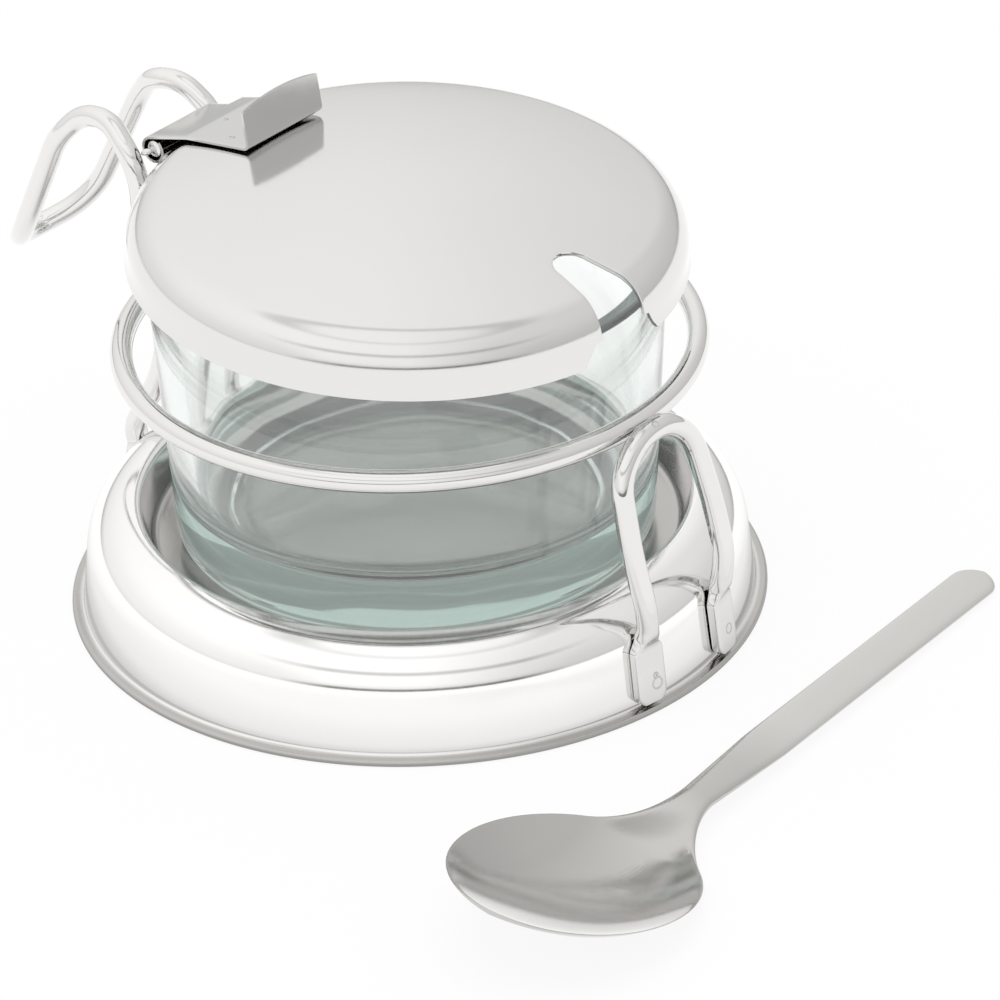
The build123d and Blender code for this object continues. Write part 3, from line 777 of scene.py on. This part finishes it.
def lid_profile():
    """(radius, height) from the dome's top to the lip. The points of the dome, a circle of its
    own radius, lie closest where the notch begins, and the shoulder is an arc of its bend."""
    across, height, angle = shoulder()
    low = LID["rise"] - LID["dome"]
    end = np.cos(angle) * LID["dome"]
    grow = NOTCH["tip"] * (1 - np.cos(np.linspace(0, np.pi / 2, 16)))
    radii = np.r_[np.linspace(0, NOTCH["reach"], 40), NOTCH["reach"] + 0.004 + grow,
                  np.linspace(NOTCH["reach"] + NOTCH["tip"] + 0.5, end, 20)]
    dome = np.stack([radii, low + np.sqrt(LID["dome"] ** 2 - radii ** 2)], axis=1)
    turn = np.linspace(angle, 0, 34)[1:]
    round_part = np.stack([across + LID["bend"] * np.cos(turn), height + LID["bend"] * np.sin(turn)], axis=1)
    down = np.linspace(height, LID["lip_height"], 16)[1:]
    side = np.stack([np.full_like(down, LID["side"]), down], axis=1)
    lip = np.linspace(0, 1, 8)[1:, None]
    lip = np.hstack([LID["side"] + (LID["lip"] - LID["side"]) * lip ** 2, LID["lip_height"] * (1 - lip)])
    return np.vstack([dome, round_part, side, lip])


def notch_half_angle(profile):
    """Half the angle that the notch takes out of each ring: asin(half width / radius). The half
    width is the tip circle's, then the tapered sides', then the flare's on the skirt."""
    radius, height = profile[:, 0], profile[:, 1]
    tip_centre = NOTCH["reach"] + NOTCH["tip"]
    safe = np.maximum(radius, 1e-6)
    forward = (safe ** 2 + tip_centre ** 2 - NOTCH["tip"] ** 2) / (2 * tip_centre)
    tip = np.sqrt(np.clip(safe ** 2 - forward ** 2, 0, None))
    slope = (NOTCH["half"] - NOTCH["tip"]) / (LID["side"] - tip_centre)
    # The ring of this radius meets the side x = tip + slope (y - tip_centre) at this reach.
    base = NOTCH["tip"] - slope * tip_centre
    root = np.sqrt(np.clip(safe ** 2 * (1 + slope ** 2) - base ** 2, 0, None))
    reach = (-base * slope + root) / (1 + slope ** 2)
    taper = base + slope * reach
    half = np.where(reach > tip_centre, taper, tip)
    half = np.where(radius < NOTCH["reach"], 0, half)
    share = np.clip(1 - height / NOTCH["flare_height"], 0, 1)
    skirt = NOTCH["half"] + NOTCH["flare"] * (share - NOTCH["bulge"] * share * (1 - share))
    half = np.where((height < NOTCH["flare_height"]) & (radius > LID["side"] - 0.01), skirt, half)
    return np.arcsin(np.clip(half / safe, 0, 1))


def lid_points(columns=349):
    """Angle = (pi - half angle of the notch) x v for v from -1 to 1, measured from the back."""
    profile = lid_profile()
    v = np.linspace(-1, 1, columns)
    angle = (np.pi - notch_half_angle(profile))[:, None] * v
    radius, height = profile[:, :1], profile[:, 1:]
    x = radius * np.sin(angle)
    y = radius * np.cos(angle)
    return lid_to_server(np.stack([x, y, np.broadcast_to(height, x.shape)], axis=-1))


points, faces = joined([(lid_points(), "")])
lid = make_piece("lid_dome", points, faces, LID_STEEL, "lid", "lid_cover", sharp=60)
wall = lid.modifiers.new("sheet", "SOLIDIFY")
wall.thickness = LID["sheet"] * MM
wall.offset = -1
wall.use_even_offset = True
ease = lid.modifiers.new("edges", "BEVEL")
ease.width = LID["edge"] * MM
ease.segments = 2
ease.limit_method = "ANGLE"
ease.angle_limit = np.radians(LID["edge_angle"])

# %% [markdown]
# ## The thumb plate
# One strip of sheet is curled round the pin, lies welded on the dome, and turns up into a flap
# for the thumb. We follow its middle line and carry a thin rounded outline along it. Three small
# weld marks show on it.

# %% The thumb plate
PLATE = {"near": -10.05, "far": 11.25, "curl_far": 7.59, "sheet": 0.65, "gap": 0.3, "bend": 6.0,
         "radius": 2.16, "sweep": 303.0, "notch": 5.7, "notch_bend": 0.2, "fold": 29.8, "fold_bend": 0.8,
         "flap": 9.1, "lean": 8.5, "drop": 1.3, "drop_length": 5.0, "longest_run": 0.25, "boxiness": 14.0}


def dome_height(reach):
    """The height at which the plate's underside touches down on the dome at a reach."""
    centre = lid_to_server(np.array([0, 0, LID["rise"] - LID["dome"]]))
    return centre[2] + np.sqrt((LID["dome"] + PLATE["gap"]) ** 2 - (reach - centre[1]) ** 2)


def plate_line(curl_steps=90):
    """The plate's middle line in (reach, height): flap, fold, plate, bend and curl. The plate
    meets the curl's circle where it is tangent to it."""
    angle = shoulder()[2]
    edge = [0, LID["dome"] * np.cos(angle), LID["rise"] - LID["dome"] + LID["dome"] * np.sin(angle)]
    reach = lid_to_server(np.array(edge))[1]
    touch = np.array([reach, dome_height(reach)])
    fold = np.array([PLATE["fold"], dome_height(PLATE["fold"])])
    across, fall = HINGE["reach"] - touch[0], touch[1] - HINGE["height"]
    slope = np.arctan2(fall, across) - np.arcsin(PLATE["radius"] / np.hypot(across, fall))
    first = np.pi / 2 - slope
    centre = np.array([HINGE["reach"], HINGE["height"]])
    entry = centre + PLATE["radius"] * np.array([np.cos(first), np.sin(first)])
    top = fold + PLATE["flap"] * np.array([np.tan(np.radians(PLATE["lean"])), 1])
    near = rounded_route([top, fold, touch, entry], [PLATE["fold_bend"] + PLATE["sheet"], PLATE["bend"]],
                         step=0.1)
    near = divided(near, PLATE["longest_run"])
    turn = first - np.radians(np.linspace(0, PLATE["sweep"], curl_steps))[1:, None]
    curl = centre + PLATE["radius"] * np.hstack([np.cos(turn), np.sin(turn)])
    line = np.vstack([near, curl])
    direction = unit(np.gradient(line, axis=0))
    left = np.stack([-direction[:, 1], direction[:, 0]], axis=1)
    return line + left * PLATE["sheet"] / 2, left, len(near)


def plate_rings(columns=120):
    """Middle line + x across + h normal. The far edge steps in at the corner notch, and the
    flap's top is a low arch: its points slide down by drop x (x / half)^2."""
    line, left, near = plate_line()
    at = length_along(line)
    notch = at[near] - PLATE["notch"]
    narrow = eased(at, notch, notch + PLATE["notch_bend"])
    far = PLATE["far"] - narrow * (PLATE["far"] - PLATE["curl_far"])
    half = (far - PLATE["near"])[:, None] / 2
    x, h = outline(columns, np.full(len(line), PLATE["boxiness"]))
    h = h * PLATE["sheet"] / 2
    slide = PLATE["drop"] * x ** 2 * (1 - eased(at, 0, PLATE["drop_length"]))[:, None]
    moved = at[:, None] + slide
    y = np.interp(moved, at, line[:, 0]) + h * left[:, :1]
    z = np.interp(moved, at, line[:, 1]) + h * left[:, 1:]
    return np.stack([PLATE["near"] + half * (1 + x), y, z], axis=-1)


points, faces = capped_tube(plate_rings())
make_piece("thumb_plate_sheet", points, faces, SATIN, "lid", "thumb_plate", sharp=50)

# %% The plate's weld marks
PLATE_UP = (0, 0.145, 0.989)
PLATE_MARKS = [((-0.11, 44.84, 87.89), 0.42), ((-6.66, 37.32, 88.99), 0.55), ((3.8, 40.6, 88.5), 0.4)]

points, faces = joined_marks([weld_mark(place, PLATE_UP, (1, 0, 0), radius, tube=0.1)
                              for place, radius in PLATE_MARKS])
make_piece("plate_marks", points, faces, SATIN, "lid")

# %% [markdown]
# ## The spoon
# The spoon lies on the table beside the server. It is a flat strap with a rounded end, a narrow
# waist, and an oval cup: each slice across it has a top curve and a bottom curve, and the slices
# follow its length. We use the CAD part's own slices with many more of them, and let the neck
# leave the strap and enter the cup at their own slopes, so that no crease shows.

# %% The spoon
SPOON = {"end": (67.0, -86.3), "bearing": 185.3, "roll": -8.3, "strap": 9.1, "thick": 1.5,
         "strap_length": 78.0, "waist": 6.8, "waist_thick": 2.2, "waist_place": 100.0,
         "neck_rise": 2.6, "cup": 141.2, "cup_long": 29.2, "cup_half": 21.3, "depth": 7.0,
         "sheet": 1.1, "pitch": 15.4, "cup_start": 0.8}


def strap_slice(place, width, slim):
    """Slices of the strap: place, half width, edge height, hollow and thickness. The middle rises
    evenly towards the waist, and the top is a little crowned, so the hollow is negative."""
    thick = SPOON["thick"] + slim * (SPOON["waist_thick"] - SPOON["thick"])
    middle = GAP + SPOON["thick"] / 2 + place / SPOON["waist_place"] * SPOON["neck_rise"]
    return np.stack([place, width, middle + 0.4 * thick, -0.12 * thick, 0.88 * thick], axis=-1)


def strap_slices():
    """The strap's end is a half circle, width sqrt(1 - back^2), and its width then goes evenly
    to the waist's."""
    half = SPOON["strap"] / 2
    place = np.r_[half * (1 - np.cos(np.linspace(0, np.pi / 2, 16))), np.linspace(4.9, 99.5, 120)]
    slim = np.clip((place - SPOON["strap_length"]) / (SPOON["waist_place"] - SPOON["strap_length"]), 0, 1)
    back = np.clip(1 - place / half, 0, 1)
    width = (SPOON["strap"] + slim * (SPOON["waist"] - SPOON["strap"])) / 2
    return strap_slice(place, width * np.sqrt(np.clip(1 - back ** 2, 1e-4, None)), slim)


def cup_slices():
    """The cup is an ellipse, tipped by its pitch: half width b sqrt(1 - s^2) and hollow
    d (1 - s^2) at a share s of its half length. It rests on its lowest point."""
    pitch = np.radians(SPOON["pitch"])
    drop = (SPOON["depth"] + SPOON["sheet"]) * np.cos(pitch)
    lift = GAP + drop + (SPOON["cup_long"] * np.sin(pitch)) ** 2 / (4 * drop)
    share = -np.cos(np.linspace(np.arccos(SPOON["cup_start"]), np.pi, 90))
    return np.stack([SPOON["cup"] + share * SPOON["cup_long"] * np.cos(pitch),
                     SPOON["cup_half"] * np.sqrt(np.clip(1 - share ** 2, 1e-6, None)),
                     lift + share * SPOON["cup_long"] * np.sin(pitch),
                     SPOON["depth"] * (1 - share ** 2) * np.cos(pitch),
                     np.full_like(share, SPOON["sheet"])], axis=1)


def spoon_slices():
    """Strap, neck and cup. The neck's values are Hermite curves: at each end they have the
    strap's or the cup's own value and slope."""
    strap, cup = strap_slices(), cup_slices()
    start, end = strap_slice(SPOON["waist_place"], SPOON["waist"] / 2, 1.0), cup[0]
    rise = np.array([1.0, 0.0, SPOON["neck_rise"] / SPOON["waist_place"], 0.0, 0.0])
    slope = (cup[1] - cup[0]) / (cup[1, 0] - cup[0, 0])
    run = end[0] - start[0]
    s = np.linspace(0, 1, 60)[1:-1, None]
    neck = ((2 * s ** 3 - 3 * s ** 2 + 1) * start + (s ** 3 - 2 * s ** 2 + s) * run * rise
            + (3 * s ** 2 - 2 * s ** 3) * end + (s ** 3 - s ** 2) * run * slope)
    return np.vstack([strap, neck, cup])


def spoon_rings(half_columns=40):
    """Each slice's top is edge - hollow (1 - t^2)(1 + 0.3 t^2) and its bottom lies a thickness
    lower, with t from -1 to 1 across. The edges are four fifths as thick and rounded. Then the
    spoon rolls, comes down to the table, and turns to its bearing."""
    place, half, top, hollow, thick = [v[:, None] for v in spoon_slices().T]
    t = np.sin(np.linspace(-np.pi / 2, np.pi / 2, half_columns))
    upper = top - hollow * (1 - t ** 2) * (1 + 0.3 * t ** 2)
    body = thick * (0.8 + 0.2 * (1 - t ** 2))
    soft = np.sqrt(np.clip(1 - np.abs(t) ** 10, 0, 1))
    middle = upper - body / 2
    high = middle + body / 2 * soft
    low = middle - body / 2 * soft
    x = np.broadcast_to(place, high.shape)
    over = np.stack([x, t * half, high], axis=-1)
    under = np.stack([x, t * half, low], axis=-1)[:, ::-1][:, 1:-1]
    rings = np.concatenate([over, under], axis=1)
    roll = np.radians(SPOON["roll"])
    y, z = rings[..., 1].copy(), rings[..., 2].copy()
    rings[..., 1] = y * np.cos(roll) - z * np.sin(roll)
    rings[..., 2] = y * np.sin(roll) + z * np.cos(roll)
    rings[..., 2] += GAP - rings[..., 2].min()
    turn = np.radians(SPOON["bearing"])
    x, y = rings[..., 0].copy(), rings[..., 1].copy()
    rings[..., 0] = SPOON["end"][0] + x * np.cos(turn) - y * np.sin(turn)
    rings[..., 1] = SPOON["end"][1] + x * np.sin(turn) + y * np.cos(turn)
    return rings


points, faces = capped_tube(spoon_rings())
spoon = make_piece("spoon_body_piece", points, faces, SPOON_STEEL, "spoon_body", "spoon",
                   sharp=60)
# In the photo the server's steel doesn't mirror the spoon, so here it doesn't either.
spoon.visible_glossy = False

# %% [markdown]
# ## The studio
# The photograph looks as if taken in a white tent: steel shows white on nearly all sides, and grey
# where one part mirrors another. So the world is white, and mirrors see tent walls whose dark
# lines and greyer right side draw the lines on every wire and round edge. One soft lamp hangs
# overhead, and the floor is pale and shows white to the camera.

# %% Helpers for the studio
RIGHT = (0.669, -0.743, 0.0)
AHEAD = (0.743, 0.669, 0.0)
FLOOR_REACH = 4000.0
FLOOR_SEEN = 0.88


def grey_ramp(nodes, links, source, stops, low, high):
    """Grey levels over a value that runs from low to high, from stops of (value, level)."""
    span = mapped_range(nodes, links, source, low, high)
    ramp = add_node(nodes, "ShaderNodeValToRGB")
    while len(ramp.color_ramp.elements) < len(stops):
        ramp.color_ramp.elements.new(0.5)
    for element, (at, level) in zip(ramp.color_ramp.elements, stops):
        element.position = (at - low) / (high - low)
        element.color = (level, level, level * 0.995, 1)
    links.new(span.outputs["Result"], ramp.inputs[0])
    return ramp.outputs["Color"]


def along_axis(nodes, links, source, axis):
    """The part of a vector that lies along an axis."""
    dot = add_node(nodes, "ShaderNodeVectorMath", operation="DOT_PRODUCT")
    dot.inputs[1].default_value = axis
    links.new(source, dot.inputs[0])
    return dot.outputs["Value"]


def seen_by(nodes, links, *rays):
    """1 for a ray of one of the kinds named, else 0."""
    path = add_node(nodes, "ShaderNodeLightPath")
    return largest(nodes, links, [path.outputs[ray] for ray in rays])


def mixed(nodes, links, kind, share, first, second):
    """Two colours or two shaders mixed by a share."""
    if kind == "SHADER":
        mix = add_node(nodes, "ShaderNodeMixShader")
        places, result = (0, 1, 2), 0
    else:
        mix = add_node(nodes, "ShaderNodeMix", data_type="RGBA")
        places, result = (0, 6, 7), 2
    for place, value in zip(places, (share, first, second)):
        links.new(value, mix.inputs[place])
    return mix.outputs[result]

# %% The floor
def floor_material():
    """White for the camera and through glass, with a share of plain diffuse floor, which keeps a soft shadow
    under the server. Mirrors see a glowing floor that is grey close to the server, by its distance in metres:
    a painted shadow round the server."""
    material, nodes, links = new_material("pale_floor")
    place = add_node(nodes, "ShaderNodeTexCoord")
    distance = add_node(nodes, "ShaderNodeVectorMath", operation="LENGTH")
    links.new(place.outputs["Object"], distance.inputs[0])
    # Grey levels by distance from the server's axis, as mirrors see the floor: a painted shadow close to the
    # server.
    stops = [(0.0, 0.35), (0.068, 0.60), (0.074, 0.90), (0.09, 1.05), (0.14, 1.12), (0.4, 1.12)]
    mirrored_painted_shadow = add_node(nodes, "ShaderNodeEmission", Strength=1.0)
    links.new(grey_ramp(nodes, links, distance.outputs["Value"], stops, 0.0, 0.4), mirrored_painted_shadow.inputs["Color"])
    white = add_node(nodes, "ShaderNodeEmission", Strength=1.0)
    plain = add_node(nodes, "ShaderNodeBsdfDiffuse")
    plain.inputs["Color"].default_value = (0.97, 0.97, 0.97, 1)
    glossy = seen_by(nodes, links, "Is Glossy Ray")
    bright = mixed(nodes, links, "SHADER", glossy, white.outputs[0], mirrored_painted_shadow.outputs[0])
    any_seen = seen_by(nodes, links, "Is Camera Ray", "Is Glossy Ray", "Is Transmission Ray")
    share = add_node(nodes, "ShaderNodeMath", operation="MULTIPLY")
    share.inputs[1].default_value = FLOOR_SEEN
    links.new(any_seen, share.inputs[0])
    output = add_node(nodes, "ShaderNodeOutputMaterial")
    links.new(mixed(nodes, links, "SHADER", share.outputs[0], plain.outputs[0], bright),
              output.inputs["Surface"])
    return material


def make_floor():
    """A square floor under the server."""
    corners = np.array([(-1, -1, 0), (1, -1, 0), (1, 1, 0), (-1, 1, 0)]) * FLOOR_REACH * MM
    mesh = bpy.data.meshes.new("floor")
    mesh.from_pydata(corners.tolist(), [], [[0, 1, 2, 3]])
    floor = bpy.data.objects.new("floor", mesh)
    bpy.context.scene.collection.objects.link(floor)
    mesh.materials.append(floor_material())
    print("floor", round(2 * FLOOR_REACH * MM, 1), "m wide")


make_floor()

# %% The world
def make_world():
    """White for the camera and through glass. Mirrors see a tent whose walls brighten upwards,
    with dark lines at the horizon, behind the camera and overhead, which draw the thin lines on
    every wire and round edge, and with a greyer wall at its right. The walls beyond the server,
    behind the camera and at the sides have a ramp each, over the height of the direction."""
    world = bpy.data.worlds.new("tent")
    bpy.context.scene.world = world
    world.use_nodes = True
    nodes, links = world.node_tree.nodes, world.node_tree.links
    nodes.clear()
    place = add_node(nodes, "ShaderNodeTexCoord").outputs["Generated"]
    height = along_axis(nodes, links, place, (0, 0, 1))
    beyond = [(-1.0, 0.9), (-0.01, 0.9), (0.0, 0.35), (0.04, 0.66), (0.10, 0.85), (0.25, 0.93), (0.5, 1.03),
              (0.88, 1.10), (0.92, 0.78), (0.94, 0.78), (0.965, 1.12), (1.0, 1.12)]
    behind = [(-1.0, 0.9), (-0.01, 0.9), (0.0, 0.25), (0.06, 0.27), (0.10, 0.9), (0.20, 1.08), (0.50, 1.12),
              (0.55, 0.68), (0.59, 0.68), (0.64, 1.12), (0.90, 1.12), (0.93, 0.90), (0.96, 1.12), (1.0, 1.12)]
    beside = [(-1.0, 0.9), (0.0, 0.80), (0.10, 0.90), (0.25, 0.93), (0.5, 1.03), (0.80, 1.10), (1.0, 1.12)]
    far, near, side = [grey_ramp(nodes, links, height, stops, -1.0, 1.0)
                       for stops in (beyond, behind, beside)]
    ahead = grey_ramp(nodes, links, along_axis(nodes, links, place, AHEAD),
                      [(-1.0, 0.0), (-0.12, 0.0), (0.12, 1.0), (1.0, 1.0)], -1.0, 1.0)
    sideways = grey_ramp(nodes, links, along_axis(nodes, links, place, RIGHT),
                         [(-1.0, 1.0), (-0.75, 1.0), (-0.5, 0.0), (0.5, 0.0), (0.75, 1.0), (1.0, 1.0)],
                         -1.0, 1.0)
    aside = grey_ramp(nodes, links, along_axis(nodes, links, place, RIGHT),
                      [(-1.0, 1.06), (0.0, 1.0), (0.5, 0.76), (1.0, 0.76)], -1.0, 1.0)
    tone = add_node(nodes, "ShaderNodeVectorMath", operation="MULTIPLY")
    walls = mixed(nodes, links, "RGBA", ahead, near, far)
    links.new(mixed(nodes, links, "RGBA", sideways, walls, side), tone.inputs[0])
    links.new(aside, tone.inputs[1])
    tent = add_node(nodes, "ShaderNodeBackground", Strength=1.0)
    links.new(tone.outputs[0], tent.inputs["Color"])
    white = add_node(nodes, "ShaderNodeBackground", Strength=1.0)
    seen = seen_by(nodes, links, "Is Camera Ray", "Is Transmission Ray")
    output = add_node(nodes, "ShaderNodeOutputWorld")
    links.new(mixed(nodes, links, "SHADER", seen, tent.outputs[0], white.outputs[0]),
              output.inputs["Surface"])


make_world()

# %% The lamp
def make_lamp(name, place, size, power):
    """A square soft lamp that looks at the server. Mirrors don't show it, because its outline
    would be hard, and the tent gives them enough to show."""
    data = bpy.data.lights.new(name, "AREA")
    data.shape = "SQUARE"
    data.size = size * MM
    data.energy = power
    lamp = bpy.data.objects.new(name, data)
    bpy.context.scene.collection.objects.link(lamp)
    lamp.location = Vector(place) * MM
    aim = Vector((0, 0, AIM_HEIGHT * MM)) - lamp.location
    lamp.rotation_euler = aim.to_track_quat("-Z", "Y").to_euler()
    lamp.visible_glossy = False
    print(name, "of", power, "W at", place)


make_lamp("overhead_lamp", place=(-300, -200, 1500), size=900, power=2.9)
bpy.context.scene.view_settings.view_transform = "Standard"
